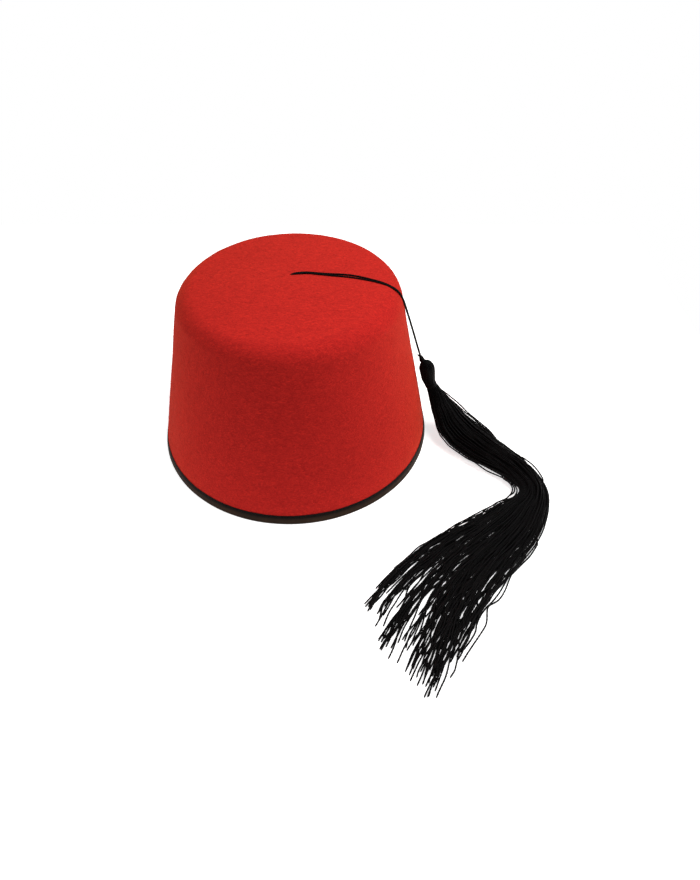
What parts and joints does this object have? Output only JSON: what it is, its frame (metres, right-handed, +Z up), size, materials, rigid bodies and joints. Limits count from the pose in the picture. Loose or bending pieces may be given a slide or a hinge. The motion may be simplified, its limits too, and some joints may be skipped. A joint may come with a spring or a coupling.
{
  "type": "fez hat",
  "caption": "Red felt fez with a ribbon-bound rim and a black cord that runs from the top over the side to a long black tassel lying on the ground.",
  "frame": {"origin": "on the ground, under the middle of the crown's oval rim", "axes": "+Z up, +Y towards the back along the longer way of the oval, +X towards the side where the tassel hangs"},
  "size_m": [0.2506, 0.3207, 0.1127],
  "materials": {
    "red_felt": "matt wool felt",
    "dark_ribbon": "matt woven ribbon",
    "black_thread": "soft satin rayon thread"
  },
  "bodies": {
    "root": {"crown": "red_felt", "rim_binding": "dark_ribbon", "cord_strand_front": "black_thread", "cord_strand_back": "black_thread", "stop_knot": "black_thread", "tassel_knot": "black_thread", "neck_binding": "black_thread", "tassel": "black_thread"}
  },
  "joints": []
}
